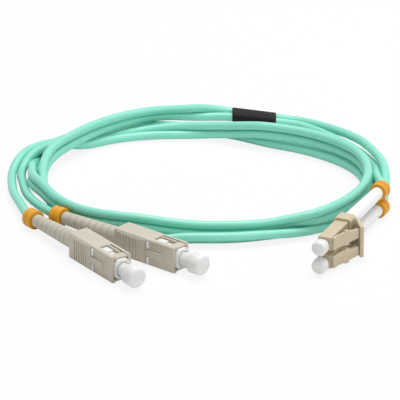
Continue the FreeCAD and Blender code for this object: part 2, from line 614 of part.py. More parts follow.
def duplex_trigger(low_place):
    """Sloping plate that presses both latch ends, on a pin through the clip's ears."""
    n = "Trigger"
    back, height = number_of(HINGE[0]), number_of(HINGE[1])
    tip = back + size("trigger_reach")
    latch_end = -size("latch_face") - size("latch_length")
    start, low = back + 0.5, height - 0.5
    over_latch = size("small_body_width") / 2 + size("latch_rise") + size("trigger_gap")
    rise = (over_latch - low) / (latch_end - start)
    inner = low + rise * (tip - start)
    steep = math.atan(rise)
    thick = size("trigger_thickness")
    outer = inner + thick * math.cos(steep)
    plate = pushed(n + "Plate", "XY_Plane", [
        (back - 0.6, low), (start, low), (tip, inner), (tip - thick * math.sin(steep), outer),
        (back - 0.6, low + rise * -1.1 + thick / math.cos(steep))], "trigger_height")
    doc.recompute()
    plate.Placement = FreeCAD.Placement(Vector(0, 0, size("small_pitch") / 2), FreeCAD.Rotation())
    notches = []
    for name, foot in EARS:
        notches.append(block(
            n + name + "Notch", (back - 1.3, height - 1.3, foot + " - 2 * slip"), ("2.6", "4.0", "ear_width + 4 * slip")))
    pin = rod(n + "Pin", "small_pitch / 2 - trigger_height / 2", "trigger_pin", "trigger_height", "z", HINGE)
    keep(join(n, cut(n + "Open", plate, *notches), pin), "duplex_trigger", low_place)


# Cords: straight runs with tangent arcs on the free stretches, a wound pair in the coil

ARC_SHARE = 0.45
FACETS = 6


def facet_ring(at, along, radius):
    """A closed ring of straight edges, square to the path."""
    side = along.cross(Vector(0, 0, 1))
    if side.Length < 0.1:
        side = along.cross(Vector(0, 1, 0))
    side.normalize()
    up = side.cross(along).normalize()
    spots = []
    for index in range(FACETS):
        angle = 2 * math.pi * (index + 0.5) / FACETS
        spots.append(at + side * (radius * math.cos(angle)) + up * (radius * math.sin(angle)))
    return Part.makePolygon(spots + [spots[0]])


def swept(path, start, along, radius):
    """A closed tube of facets along a path."""
    shell = Part.BRepOffsetAPI.MakePipeShell(path)
    shell.add(facet_ring(start, along, radius))
    shell.build()
    shell.makeSolid()
    return shell.shape()


def free_path(points):
    """Straight runs joined by arcs as large as the two runs allow."""
    edges, radii = [], []
    here = points[0]
    for before, corner, after in zip(points, points[1:], points[2:]):
        into, out = corner - before, after - corner
        shorter = min(into.Length, out.Length)
        into, out = Vector(into).normalize(), Vector(out).normalize()
        turn = math.acos(max(-1.0, min(1.0, into.dot(out))))
        back = ARC_SHARE * shorter
        radius = back / math.tan(turn / 2)
        radii.append(radius)
        start, end = corner - into * back, corner + out * back
        inward = (out - into).normalize()
        middle = corner + inward * (radius / math.cos(turn / 2) - radius)
        edges.append(Part.LineSegment(here, start).toShape())
        edges.append(Part.Arc(start, middle, end).toShape())
        here = end
    edges.append(Part.LineSegment(here, points[-1]).toShape())
    return Part.Wire(edges), radii


# Marks of the wound pair, chosen by eye: degrees wound from the left side, reach from the coil's
# middle, height, and lean of the pair (0 lies flat with strand a outside, 90 stands with a on top)
WOUND = [
    (0, 62.3, 1.6, 0), (5, 62.3, 2.1, 0), (10, 61.4, 3.7, 0), (15, 59.6, 5.0, 0), (20, 57.4, 5.4, 0),
    (25, 55.0, 5.2, 0), (30, 52.7, 4.0, 0), (35, 50.6, 2.25, 0), (42, 48.2, 1.6, 0), (55, 44.3, 1.75, 5),
    (72, 40.0, 2.6, 35), (90, 37.2, 3.4, 80), (105, 36.0, 4.4, 90), (115, 35.6, 5.8, 90), (124, 36.0, 6.8, 90),
    (135, 38.4, 6.8, 90), (145, 41.8, 6.8, 90), (157, 45.9, 6.8, 90), (180, 54.6, 6.8, 90), (202, 59.2, 6.8, 90),
    (225, 61.0, 6.7, 90), (235, 59.3, 6.95, 90), (243, 56.4, 6.25, 90), (251, 54.0, 4.5, 90), (260, 52.4, 3.4, 88),
    (270, 52.1, 3.4, 88), (280, 52.8, 4.2, 90), (290, 54.4, 6.1, 90), (300, 57.0, 6.9, 90), (315, 58.4, 6.8, 90),
    (330, 59.4, 6.7, 90), (338, 58.8, 6.5, 90), (345, 57.9, 5.5, 90), (352, 57.0, 4.4, 86), (360, 56.1, 3.25, 60),
    (367, 55.3, 2.2, 20), (374, 55.4, 1.7, 0), (380, 56.8, 1.6, 0), (386, 58.4, 1.6, 0), (392, 58.8, 1.6, 0),
    (398, 57.9, 1.6, 0), (405, 55.9, 1.6, 0), (420, 50.9, 1.6, 0), (435, 46.3, 1.6, 0), (450, 42.9, 1.6, 0),
    (465, 41.3, 1.6, 0), (475, 39.9, 1.6, 0), (484, 39.1, 1.6, 0), (495, 40.2, 1.6, 0), (516, 47.0, 1.6, 0),
    (532, 53.4, 1.6, 0), (540, 56.2, 1.6, 0), (555, 59.2, 1.6, 0), (570, 60.4, 1.6, 0), (588, 60.8, 1.6, 0),
    (602, 60.5, 1.75, 5), (618, 58.4, 2.65, 35), (634, 57.6, 2.65, 35), (646, 58.8, 1.75, 8), (654, 58.4, 1.6, 0),
    (665, 57.5, 1.6, 0), (680, 57.4, 1.6, 0), (690, 56.3, 1.8, 5), (697, 54.7, 2.7, 40), (705, 53.7, 3.5, 80),
    (712, 53.0, 4.45, 90), (720, 52.2, 5.45, 90), (733, 50.8, 6.6, 90), (745, 48.0, 7.05, 90), (752, 47.2, 7.05, 90),
    (765, 46.9, 6.8, 90), (780, 47.0, 6.8, 90), (790, 48.4, 6.6, 90), (797, 50.3, 6.0, 90), (802, 52.0, 4.9, 82),
    (807, 53.7, 3.8, 62), (812, 55.2, 2.75, 34), (817, 56.2, 2.1, 10), (822, 56.4, 1.95, 0)]
WOUND_STEP = 9.0


def slope(index, column):
    """Slope of the marks at one mark, level where the lean turns back."""
    low, here, high = WOUND[max(index - 1, 0)], WOUND[index], WOUND[min(index + 1, len(WOUND) - 1)]
    if column == 3 and (here[3] - low[3]) * (high[3] - here[3]) <= 0:
        return 0.0
    return (high[column] - low[column]) / (high[0] - low[0])


def between_marks(wound, column):
    """A smooth value between the marks."""
    index = 1
    while index < len(WOUND) - 1 and WOUND[index][0] < wound:
        index += 1
    low, high = WOUND[index - 1], WOUND[index]
    width = high[0] - low[0]
    u = (wound - low[0]) / width
    return ((2 * u ** 3 - 3 * u ** 2 + 1) * low[column] + (u ** 3 - 2 * u ** 2 + u) * width * slope(index - 1, column)
            + (3 * u ** 2 - 2 * u ** 3) * high[column] + (u ** 3 - u ** 2) * width * slope(index, column))


def wound_point(wound, side):
    """A point on one strand of the wound pair, side 1 for strand a and -1 for strand b."""
    lean = math.radians(between_marks(wound, 3))
    half = side * size("strand_pitch") / 2
    reach = between_marks(wound, 1) + half * math.cos(lean)
    angle = math.radians(180 - wound)
    return COIL_MIDDLE + Vector(reach * math.cos(angle), reach * math.sin(angle), between_marks(wound, 2) + half * math.sin(lean))


def wound_heading(wound, side):
    """Direction of a strand, from two points close by."""
    last = WOUND[-1][0]
    before, after = wound_point(max(wound - 0.5, 0), side), wound_point(min(wound + 0.5, last), side)
    return (after - before).normalize()


def arc_from(start, corner, end):
    """The arc between two tangents of equal length that meet at the corner."""
    middle = (start + end) * 0.5
    half = (end - start).Length / 2
    bow = corner - middle
    if bow.Length < 0.002:
        return Part.LineSegment(start, end).toShape()
    swing = math.atan2(bow.Length, half)
    return Part.Arc(start, middle + bow.normalize() * (half * math.tan(swing / 2)), end).toShape()


def biarc(start, out, end, into):
    """Two arcs that leave along one heading and arrive along the other."""
    across = end - start
    a = 2 * (1 - out.dot(into))
    b = 2 * across.dot(out + into)
    c = -across.dot(across)
    reach = -c / b if a < 1e-9 else (-b + math.sqrt(b * b - 4 * a * c)) / (2 * a)
    first, second = start + out * reach, end - into * reach
    meet = (first + second) * 0.5
    return [arc_from(start, first, meet), arc_from(meet, second, end)]


def coil_headings(side, first, last):
    """Stations of the wound strand with their headings, the ends as the free stretches meet them."""
    count = int(round(WOUND[-1][0] / WOUND_STEP))
    stations = []
    for index in range(count + 1):
        wound = WOUND[-1][0] * index / count
        stations.append((wound_point(wound, side), wound_heading(wound, side)))
    stations[0] = (stations[0][0], first)
    stations[-1] = (stations[-1][0], last)
    return stations


def coil_path(stations):
    edges = []
    for (start, out), (end, into) in zip(stations, stations[1:]):
        edges += biarc(start, out, end, into)
    return Part.Wire(edges)


def at_coil(x, y, z):
    """A point given from the coil's middle."""
    return COIL_MIDDLE + Vector(x, y, z)


def strand(tag, side, from_boot, left_points, right_points, to_boot):
    """One whole strand: plug leg, wound coil and far leg, each a solid of its own."""
    radius = size("cord_diameter") / 2
    left = from_boot + [at_coil(*spot) for spot in left_points] + [wound_point(0, side)]
    right = [wound_point(WOUND[-1][0], side)] + [at_coil(*spot) for spot in right_points] + to_boot[::-1]
    lengths = []
    for label, points in (("sc_leg_" + tag, left), ("lc_leg_" + tag, right)):
        path, radii = free_path(points)
        along = (points[1] - points[0]).normalize()
        solid = swept(path, points[0], along, radius)
        add_cord(label, solid, path)
        lengths.append(path.Length)
        print(label, "length %.1f" % path.Length, "arc radii", " ".join("%.0f" % value for value in radii))
    first = (left[-1] - left[-2]).normalize()
    last = (right[1] - right[0]).normalize()
    stations = coil_headings(side, first, last)
    path = coil_path(stations)
    solid = swept(path, stations[0][0], first, radius)
    add_cord("coil_" + tag, solid, path)
    print("coil_" + tag, "length %.1f" % path.Length, "whole strand %.1f" % (path.Length + sum(lengths)))
    return path


def add_cord(label, solid, path):
    thing = doc.addObject("Part::Feature", label)
    thing.Shape = solid
    thing.Label = label
    finished.append(thing)
    section = FACETS / 2 * math.sin(2 * math.pi / FACETS) * (size("cord_diameter") / 2) ** 2
    print(label, "volume over section x length %.4f" % (solid.Volume / (section * path.Length)))


def least_gap(path, other, same):
    """Least clear distance between two passes, on points along the paths."""
    step = 1.0
    skip = 25
    count = int(path.Length / step)
    mine = path.discretize(count)
    theirs = mine if same else other.discretize(int(other.Length / step))
    best = 1e9
    where = None
    for i, a in enumerate(mine):
        for j, b in enumerate(theirs):
            if same and j < i + skip:
                continue
            apart = a.distanceToPoint(b)
            if apart < best:
                best, where = apart, a - COIL_MIDDLE
    return best - size("cord_diameter"), where


def breakout_sleeve(start, along):
    """Shrunk sleeve that holds the two strands together where they part."""
    n = "Sleeve"
    outer_parts, inner_parts = [], []
    for name, middle in (("A", "strand_pitch / 2"), ("B", "-strand_pitch / 2")):
        outer_parts.append(rod(n + "Outer" + name, "0.0", "cord_diameter + 2 * slip + 2 * sleeve_wall", "sleeve_length", "x", (middle, "0.0")))
        inner_parts.append(rod(n + "Inner" + name, "-1", "cord_diameter + 2 * slip", "sleeve_length + 2", "x", (middle, "0.0")))
    outer_parts.append(block(
        n + "Web", ("0.0", "-strand_pitch / 2", "-cord_diameter / 2 - slip - sleeve_wall"),
        ("sleeve_length", "strand_pitch", "cord_diameter + 2 * slip + 2 * sleeve_wall")))
    inner_parts.append(block(
        n + "Slot", ("-1", "-strand_pitch / 2", "-cord_diameter / 2 - slip + 0.5"),
        ("sleeve_length + 2", "strand_pitch", "cord_diameter + 2 * slip - 1")))
    solid = cut(n, join(n + "Solid", *outer_parts), *inner_parts)
    heading = math.degrees(math.atan2(along.y, along.x))
    keep(solid, "breakout_sleeve", FreeCAD.Placement(start, FreeCAD.Rotation(Vector(0, 0, 1), heading)))


near_place, near_tail = square_plug("near", NEAR_FRONT, NEAR_HEADING, NEAR_BOOT_DROOP)
far_place, far_tail = square_plug("far", FAR_FRONT, FAR_HEADING, 0.0)
low_height = size("small_body_height") / 2 + size("duplex_wall")
low_place, small_rear = small_plug("lower", low_height)
high_place, small_rear = small_plug("upper", low_height + size("small_pitch"))
duplex_clip(low_place)
duplex_trigger(low_place)

boot_end = -size("grip_length") - size("boot_length")
crimp_end = size("ferrule_front") - size("ferrule_length") - size("flange_length") - size("spring_length")
crimp_end -= 0.3 + size("stop_length") / 2 + size("crimp_length")
small_crimp_end = -size("small_body_length") - 0.2 - size("small_crimp_length")
FACE_GAP = 0.2
STRAIGHT_RUN = 11.0


def out_of_boot(place, start, end):
    """Start of a strand at its crimp, and the end of its straight run through boot and clip."""
    return [place.multVec(Vector(start - FACE_GAP, 0, 0)), place.multVec(Vector(end - STRAIGHT_RUN, 0, 0))]


near_run = out_of_boot(near_tail, crimp_end, boot_end)
far_run = out_of_boot(far_tail, crimp_end, boot_end)
low_run = out_of_boot(low_place, small_crimp_end, small_rear)
high_run = out_of_boot(high_place, small_crimp_end, small_rear)

SC_LEG_A = [(-62.9, -23.5, 2.0), (-64.0, -11.5, 1.6)]
SC_LEG_B = [(-57.9, -27.0, 3.2), (-60.2, -16.0, 2.1), (-60.6, -7.5, 1.6)]
LC_LEG_A = [(38.9, 50.2, 1.95), (55.6, 28.3, 5.0), (62.9, 7.0, 4.7), (65.0, -9.5, 3.3)]
LC_LEG_B = [(37.8, 47.0, 1.95), (54.2, 25.2, 1.6), (60.4, 6.0, 1.8), (61.6, -9.0, 4.7)]

doc.recompute()
path_a = strand("a", 1, near_run, SC_LEG_A, LC_LEG_A, low_run)
path_b = strand("b", -1, far_run, SC_LEG_B, LC_LEG_B, high_run)
for name, path, other, same in (("a to itself", path_a, None, True), ("b to itself", path_b, None, True), ("a to b", path_a, path_b, False)):
    gap, where = least_gap(path, other, same)
    print("least gap of strand", name, "%.2f" % gap, "near %.0f %.0f %.1f" % tuple(where))

SLEEVE_START = 0.5
pair_end = (wound_point(WOUND[-1][0], 1) + wound_point(WOUND[-1][0], -1)) * 0.5
pair_along = (at_coil(*LC_LEG_A[0]) - wound_point(WOUND[-1][0], 1)).normalize()
breakout_sleeve(pair_end + pair_along * SLEEVE_START, pair_along)

doc.recompute()
failed = [thing.Name for thing in doc.Objects if "Invalid" in thing.State or "Error" in thing.State]
if failed:
    raise RuntimeError("failed objects: " + ", ".join(failed))
for thing in finished:
    if thing.Shape.isNull() or not thing.Shape.isValid():
        raise RuntimeError("bad shape: " + thing.Label)

os.makedirs("parts", exist_ok=True)
for thing in finished:
    thing.Shape.exportStep("parts/%s.step" % thing.Label)
print(len(finished), "parts written")
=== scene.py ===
"""Duplex patch cord on white, laid out as an add-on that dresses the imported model."""
import json
import math

import bpy
from mathutils import Matrix, Vector


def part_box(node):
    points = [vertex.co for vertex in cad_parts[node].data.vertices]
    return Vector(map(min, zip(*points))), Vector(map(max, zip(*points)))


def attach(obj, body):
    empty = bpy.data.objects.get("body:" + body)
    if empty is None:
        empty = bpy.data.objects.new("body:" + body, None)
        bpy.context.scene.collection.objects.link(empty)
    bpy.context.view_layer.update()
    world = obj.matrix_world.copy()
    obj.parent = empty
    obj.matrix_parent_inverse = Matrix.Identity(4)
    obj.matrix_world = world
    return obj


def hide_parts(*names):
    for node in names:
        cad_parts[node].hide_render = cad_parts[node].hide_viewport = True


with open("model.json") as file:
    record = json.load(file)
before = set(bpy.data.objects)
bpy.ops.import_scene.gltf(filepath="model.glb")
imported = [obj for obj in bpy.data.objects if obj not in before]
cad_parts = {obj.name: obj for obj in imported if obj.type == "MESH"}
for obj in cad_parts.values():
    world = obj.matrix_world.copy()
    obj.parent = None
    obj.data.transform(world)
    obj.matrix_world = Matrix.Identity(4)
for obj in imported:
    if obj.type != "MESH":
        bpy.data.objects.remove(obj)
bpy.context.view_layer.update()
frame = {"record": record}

bl_info = {
    "name": "Duplex Patch Cord",
    "version": (1, 0, 0),
    "blender": (4, 5, 0),
    "location": "View3D > Sidebar > Patch Cord",
    "description": "Dresses the plugs, clips, boots and both strands of a coiled duplex patch cord",
    "category": "Add Mesh",
}

MM = 0.001
COIL_MIDDLE = Vector((-2.57, 19.04, 0.0))
NEAR_PLUG = ((-25.4, -86.8), -56.0, 4.5)
FAR_PLUG = ((-6.2, -78.3), -41.0, 4.5)
LOWER_PLUG = ((40.3, -77.8), -113.5, 3.05)
UPPER_PLUG = ((40.3, -77.8), -113.5, 9.3)
NEAR_DROOP = 2.6
DROOP_PIVOT = -25.5
SQUARE_CRIMP, SQUARE_BOOT_END = -24.8, -51.0
SMALL_CRIMP, SMALL_BOOT_END = -22.7, -46.7
BODY_OF = {node: body
           for body, nodes in frame["record"]["behaviour"]["bodies"].items() for node in nodes}
SLOT_OF = {part["node"]: part["material_slot"] for part in frame["record"]["subparts"]}


class PatchCordSizes(bpy.types.PropertyGroup):
    """Sizes of the dressed cord"""
    strand: bpy.props.FloatProperty(
        name="Strand", description="Diameter of one jacket",
        default=0.003, min=0.001, max=0.006, unit="LENGTH")
    pitch: bpy.props.FloatProperty(
        name="Pair pitch", description="Between the middles of the two strands",
        default=0.00306, min=0.003, max=0.008, unit="LENGTH")
    edge: bpy.props.FloatProperty(
        name="Moulded edge", description="Rounding of the moulded edges",
        default=0.00018, min=0.00005, max=0.0005, unit="LENGTH")
    mark: bpy.props.FloatProperty(
        name="Insertion mark", description="Width of the white mark on a grip",
        default=0.0009, min=0.0003, max=0.002, unit="LENGTH")


class PatchCordColours(bpy.types.PropertyGroup):
    """Colours of the dressed cord"""
    jacket: bpy.props.FloatVectorProperty(
        name="Jacket", description="Aqua jacket of both strands", subtype="COLOR",
        size=3, default=(0.23, 0.71, 0.56), min=0.0, max=1.0)
    grip: bpy.props.FloatVectorProperty(
        name="Square plug", description="Beige of the square plug grips", subtype="COLOR",
        size=3, default=(0.565, 0.52, 0.425), min=0.0, max=1.0)
    housing: bpy.props.FloatVectorProperty(
        name="Small plug", description="Beige of the small plugs", subtype="COLOR",
        size=3, default=(0.58, 0.50, 0.345), min=0.0, max=1.0)
    marker: bpy.props.FloatVectorProperty(
        name="Marker clip", description="Orange of the marker clips", subtype="COLOR",
        size=3, default=(0.76, 0.345, 0.002), min=0.0, max=1.0)
    boot: bpy.props.FloatVectorProperty(
        name="Ringed boot", description="Warm grey of the ringed boots", subtype="COLOR",
        size=3, default=(0.55, 0.52, 0.43), min=0.0, max=1.0)
    cap: bpy.props.FloatVectorProperty(
        name="Dust cap", description="Milky white of the dust caps", subtype="COLOR",
        size=3, default=(0.80, 0.795, 0.785), min=0.0, max=1.0)


def sizes():
    return bpy.context.scene.patch_cord_sizes


def colours():
    return bpy.context.scene.patch_cord_colours


# Places along a plug

def plug_matrix(plug, droop=0.0):
    """Matrix of a plug, with x along it and its front middle at the origin."""
    (x, y), heading, height = plug
    turn = Matrix.Rotation(math.radians(heading), 4, "Z")
    place = Matrix.Translation((COIL_MIDDLE + Vector((x, y, height))) * MM) @ turn
    if droop:
        pivot = Vector((DROOP_PIVOT, 0, 0)) * MM
        tilt = Matrix.Rotation(math.radians(-droop), 4, "Y")
        place = place @ Matrix.Translation(pivot) @ tilt @ Matrix.Translation(-pivot)
    return place


def on_plug(plug, along, side=0.0, up=0.0, droop=0.0):
    """A point given in millimetres along, beside and above a plug's axis."""
    return plug_matrix(plug, droop) @ (Vector((along, side, up)) * MM)


# Finishes

def new_finish(name):
    material = bpy.data.materials.new(name)
    material.use_nodes = True
    tree = material.node_tree
    tree.nodes.clear()
    output = tree.nodes.new("ShaderNodeOutputMaterial")
    shader = tree.nodes.new("ShaderNodeBsdfPrincipled")
    tree.links.new(shader.outputs["BSDF"], output.inputs["Surface"])
    place = tree.nodes.new("ShaderNodeTexCoord")
    return material, tree, shader, place.outputs["Object"]


def grain(tree, place, scale, detail=2.0, rough=0.5):
    noise = tree.nodes.new("ShaderNodeTexNoise")
    noise.inputs["Scale"].default_value = scale
    noise.inputs["Detail"].default_value = detail
    noise.inputs["Roughness"].default_value = rough
    tree.links.new(place, noise.inputs["Vector"])
    return noise.outputs["Fac"]


def roughen(tree, shader, factor, low, high):
    """Roughness that follows a factor from low to high."""
    ramp = tree.nodes.new("ShaderNodeMapRange")
    ramp.inputs["From Min"].default_value = 0.3
    ramp.inputs["From Max"].default_value = 0.7
    ramp.inputs["To Min"].default_value = low
    ramp.inputs["To Max"].default_value = high
    tree.links.new(factor, ramp.inputs["Value"])
    tree.links.new(ramp.outputs["Result"], shader.inputs["Roughness"])


def shade_of(colour, amount):
    return tuple(min(1.0, channel * amount) for channel in colour) + (1.0,)


def paint(tree, shader, factor, dark, light):
    """Colour that follows a factor from dark to light."""
    mix = tree.nodes.new("ShaderNodeMix")
    mix.data_type = "RGBA"
    mix.inputs["A"].default_value = dark
    mix.inputs["B"].default_value = light
    tree.links.new(factor, mix.inputs["Factor"])
    tree.links.new(mix.outputs["Result"], shader.inputs["Base Color"])


def raised(tree, shader, heights, strength, distance):
    bump = tree.nodes.new("ShaderNodeBump")
    bump.inputs["Strength"].default_value = strength
    bump.inputs["Distance"].default_value = distance
    tree.links.new(heights, bump.inputs["Height"])
    tree.links.new(bump.outputs["Normal"], shader.inputs["Normal"])


def moulded(name, colour, rough, cloud=250.0, skin=4500.0, depth=0.00003, soft=0.0):
    """Moulded plastic or rubber: faint clouds in the colour and a fine skin."""
    material, tree, shader, place = new_finish(name)
    clouds = grain(tree, place, cloud, 3.0, 0.6)
    paint(tree, shader, clouds, shade_of(colour, 0.93), shade_of(colour, 1.06))
    roughen(tree, shader, grain(tree, place, cloud * 3), rough - 0.05, rough + 0.07)
    raised(tree, shader, grain(tree, place, skin, 3.0, 0.6), 0.25, depth)
    shader.inputs["Subsurface Weight"].default_value = soft
    shader.inputs["Subsurface Radius"].default_value = (1.0, 0.9, 0.8)
    shader.inputs["Subsurface Scale"].default_value = 0.001
    return material


def jacket_finish():
    """Smooth extruded jacket with a soft gloss and slight unevenness along it."""
    colour = colours().jacket
    material, tree, shader, place = new_finish("aqua_jacket")
    clouds = grain(tree, place, 60.0, 4.0, 0.6)
    paint(tree, shader, clouds, shade_of(colour, 0.94), shade_of(colour, 1.05))
    roughen(tree, shader, grain(tree, place, 400.0), 0.36, 0.46)
    shader.inputs["Specular IOR Level"].default_value = 0.75
    raised(tree, shader, grain(tree, place, 900.0, 4.0, 0.65), 0.18, 0.00006)
    shader.inputs["Subsurface Weight"].default_value = 0.12
    shader.inputs["Subsurface Radius"].default_value = (0.6, 1.0, 0.9)
    shader.inputs["Subsurface Scale"].default_value = 0.0012
    return material


def metal_finish(name, colour, rough):
    material, tree, shader, place = new_finish(name)
    turned = grain(tree, place, 2500.0, 2.0)
    paint(tree, shader, turned, shade_of(colour, 0.9), shade_of(colour, 1.08))
    roughen(tree, shader, turned, rough - 0.06, rough + 0.08)
    shader.inputs["Metallic"].default_value = 1.0
    return material


def sleeve_finish():
    """Shrunk tubing: near black, finely wrinkled all across, with painted shade in the wrinkle troughs."""
    material, tree, shader, place = new_finish("shrunk_sleeve")
    wrinkles_and_painted_shade = tree.nodes.new("ShaderNodeTexWave")
    wrinkles_and_painted_shade.inputs["Scale"].default_value = 260.0
    wrinkles_and_painted_shade.inputs["Distortion"].default_value = 9.0
    wrinkles_and_painted_shade.inputs["Detail"].default_value = 3.0
    tree.links.new(place, wrinkles_and_painted_shade.inputs["Vector"])
    # The colour follows the wrinkle heights: painted shade, darker in the troughs and lighter on the crests.
    paint(tree, shader, wrinkles_and_painted_shade.outputs["Fac"], (0.006, 0.006, 0.0065, 1.0), (0.009, 0.009, 0.0095, 1.0))
    roughen(tree, shader, grain(tree, place, 900.0), 0.55, 0.70)
    shader.inputs["Specular IOR Level"].default_value = 0.18
    raised(tree, shader, wrinkles_and_painted_shade.outputs["Fac"], 0.12, 0.00004)
    return material


FINISHES = {}


def make_finishes():
    """One finish for each material of the record."""
    chosen = colours()
    FINISHES.update({
        "sc_grip": moulded("beige_grip", tuple(chosen.grip), 0.46),
        "frame": moulded("white_frame", (0.80, 0.80, 0.78), 0.42, soft=0.1),
        "ceramic": moulded("ferrule_ceramic", (0.82, 0.82, 0.80), 0.22, depth=0.000005),
        "steel": metal_finish("turned_steel", (0.55, 0.55, 0.56), 0.32),
        "spring_steel": metal_finish("spring_steel", (0.50, 0.50, 0.52), 0.28),
        "brass": metal_finish("crimp_brass", (0.62, 0.47, 0.22), 0.34),
        "sc_boot": moulded("ringed_boot_rubber", tuple(chosen.boot), 0.60),
        "lc_boot": moulded("white_boot_rubber", (0.88, 0.865, 0.865), 0.55, soft=0.15),
        "cap": moulded("milky_cap", tuple(chosen.cap), 0.40, soft=0.35),
        "marker": moulded("orange_marker", tuple(chosen.marker), 0.36, soft=0.05),
        "lc_housing": moulded("beige_housing", tuple(chosen.housing), 0.44),
        "sleeve": sleeve_finish(),
        "jacket": jacket_finish(),
    })


# Piece helpers

def deselect():
    if bpy.context.mode != "OBJECT":
        bpy.ops.object.mode_set(mode="OBJECT")
    bpy.ops.object.select_all(action="DESELECT")


def pick(piece):
    deselect()
    piece.select_set(True)
    bpy.context.view_layer.objects.active = piece


def give(piece, finish, body):
    """A finished piece gets its finish and the body that carries it."""
    piece.data.materials.clear()
    piece.data.materials.append(finish)
    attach(piece, body)


def softened(node, width, angle=28.0, segments=2):
    """A copy of a moulded part with its doubles merged, its flats joined and its edges rounded."""
    source = bpy.data.objects[node]
    piece = bpy.data.objects.new(node + "_moulded", source.data.copy())
    bpy.context.collection.objects.link(piece)
    pick(piece)
    bpy.ops.object.mode_set(mode="EDIT")
    bpy.ops.mesh.select_all(action="SELECT")
    bpy.ops.mesh.remove_doubles(threshold=0.000003)
    bpy.ops.mesh.dissolve_limited(angle_limit=math.radians(1.0))
    bpy.ops.object.mode_set(mode="OBJECT")
    rounding = piece.modifiers.new("Rounding", "BEVEL")
    rounding.width = width
    rounding.segments = segments
    rounding.limit_method = "ANGLE"
    rounding.angle_limit = math.radians(angle)
    rounding.use_clamp_overlap = True
    rounding.harden_normals = False
    bpy.ops.object.modifier_apply(modifier="Rounding")
    bpy.ops.object.shade_smooth_by_angle(angle=math.radians(40.0))
    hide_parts(node)
    give(piece, FINISHES[SLOT_OF[node]], BODY_OF[node])
    return piece


def stay(nodes):
    """Parts whose shape is right keep it and get their finish."""
    for node in nodes:
        part = bpy.data.objects[node]
        finish = FINISHES[SLOT_OF[node]]
        if part.data.materials:
            for index in range(len(part.data.materials)):
                part.data.materials[index] = finish
        else:
            part.data.materials.append(finish)


# Route of the strands: the marks are degrees wound from the left side, reach, height and lean
WOUND = [
    (0, 62.6, 1.8, 0), (5, 61.6, 3.7, 0), (10, 60.2, 5.0, 0), (15, 58.5, 4.9, 0),
    (20, 56.0, 4.9, 0), (25, 53.0, 4.4, 0), (30, 50.3, 2.7, 0), (35, 48.6, 1.8, 0),
    (42, 47.2, 1.6, 0), (55, 44.1, 1.7, 5), (72, 39.9, 2.5, 35), (90, 37.0, 3.3, 80),
    (105, 35.6, 4.4, 90), (115, 35.2, 5.45, 90), (124, 35.6, 6.4, 90), (135, 38.0, 6.7, 90),
    (145, 41.5, 6.7, 90), (157, 46.3, 6.7, 92), (168, 51.2, 6.7, 95), (180, 55.3, 6.7, 95),
    (202, 60.0, 6.8, 92), (215, 61.8, 6.9, 90), (225, 62.3, 6.8, 88), (231, 62.2, 6.6, 80),
    (236, 60.2, 6.0, 62), (240, 57.3, 5.2, 50), (245, 55.6, 4.25, 55), (250, 54.6, 3.7, 68),
    (256, 53.5, 3.45, 80), (262, 52.7, 3.4, 86), (270, 52.1, 3.4, 88), (280, 52.8, 4.2, 90),
    (290, 54.8, 5.6, 90), (300, 57.4, 6.0, 90), (307, 58.4, 5.7, 90), (315, 58.7, 5.4, 90),
    (323, 58.8, 5.7, 90), (330, 58.4, 6.2, 90), (338, 57.7, 6.3, 94), (345, 58.3, 5.5, 98),
    (352, 57.5, 4.4, 96), (360, 56.6, 3.25, 75), (367, 55.9, 2.1, 18), (374, 56.3, 1.7, 0),
    (380, 57.1, 1.6, 0), (386, 57.3, 1.6, 0), (392, 56.8, 1.6, 0), (398, 55.6, 1.6, 0),
    (405, 53.9, 1.6, 0), (420, 50.0, 1.6, 0), (435, 46.0, 1.6, 0), (450, 42.3, 1.6, 0),
    (465, 40.2, 1.6, 0), (475, 39.1, 1.6, 0), (484, 38.6, 1.6, 0), (495, 39.9, 1.6, 0),
    (516, 46.7, 1.6, 0), (532, 53.4, 1.6, 0), (540, 56.2, 1.6, 0), (555, 59.4, 1.6, 0),
    (570, 60.6, 1.6, 0), (588, 60.6, 1.7, 5), (597, 60.1, 1.9, 12), (605, 59.1, 2.3, 24),
    (612, 58.7, 2.6, 32), (618, 58.4, 2.65, 35), (634, 57.6, 2.65, 35), (646, 58.8, 1.75, 8),
    (654, 58.3, 1.6, 0), (665, 55.8, 1.6, 0), (680, 55.5, 1.6, 0), (690, 55.4, 1.8, 5),
    (697, 54.3, 2.3, 28), (705, 54.5, 3.5, 80), (712, 53.8, 4.2, 90), (720, 53.0, 4.9, 90),
    (733, 51.3, 5.7, 80), (745, 48.3, 6.5, 85), (752, 47.3, 6.8, 90), (765, 46.9, 6.7, 95),
    (780, 46.9, 6.7, 105), (790, 48.0, 6.2, 112), (797, 49.6, 5.4, 112), (802, 51.3, 4.4, 105),
    (807, 53.1, 3.6, 85), (812, 54.8, 3.0, 60), (817, 56.0, 2.4, 30), (822, 56.4, 2.05, 8)]
COIL_STATIONS = 137
SLEEVE_STATIONS = 16
SLEEVE_SPOTS = 28
SLEEVE_REACH = 1.75
SC_LEG_A = [(-60.3, -27.0, 2.7), (-62.9, -17.5, 2.2), (-63.8, -7.2, 1.9)]
SC_LEG_B = [(-55.4, -28.0, 3.1), (-58.6, -17.9, 2.3), (-60.0, -7.2, 1.8)]
LC_LEG_A = [(38.4, 48.8, 1.7), (54.8, 28.8, 4.1), (61.4, 8.0, 5.0),
            (62.6, -3.0, 5.9), (62.9, -12.0, 4.9)]
LC_LEG_B = [(37.2, 45.4, 1.7), (53.6, 24.6, 1.6), (60.2, 8.0, 1.6),
            (60.3, -1.0, 3.4), (59.6, -10.0, 4.9)]
CRIMP_START, BEFORE_BOOT_END, PAST_CLIP = 0.2, 1.0, 6.0
SLEEVE_SPOT = 0.62
BACK_RUN = 0.06


def mark_slope(index, column):
    low, here, high = WOUND[max(index - 1, 0)], WOUND[index], WOUND[min(index + 1, len(WOUND) - 1)]
    if column == 3 and (here[3] - low[3]) * (high[3] - here[3]) <= 0:
        return 0.0
    return (high[column] - low[column]) / (high[0] - low[0])


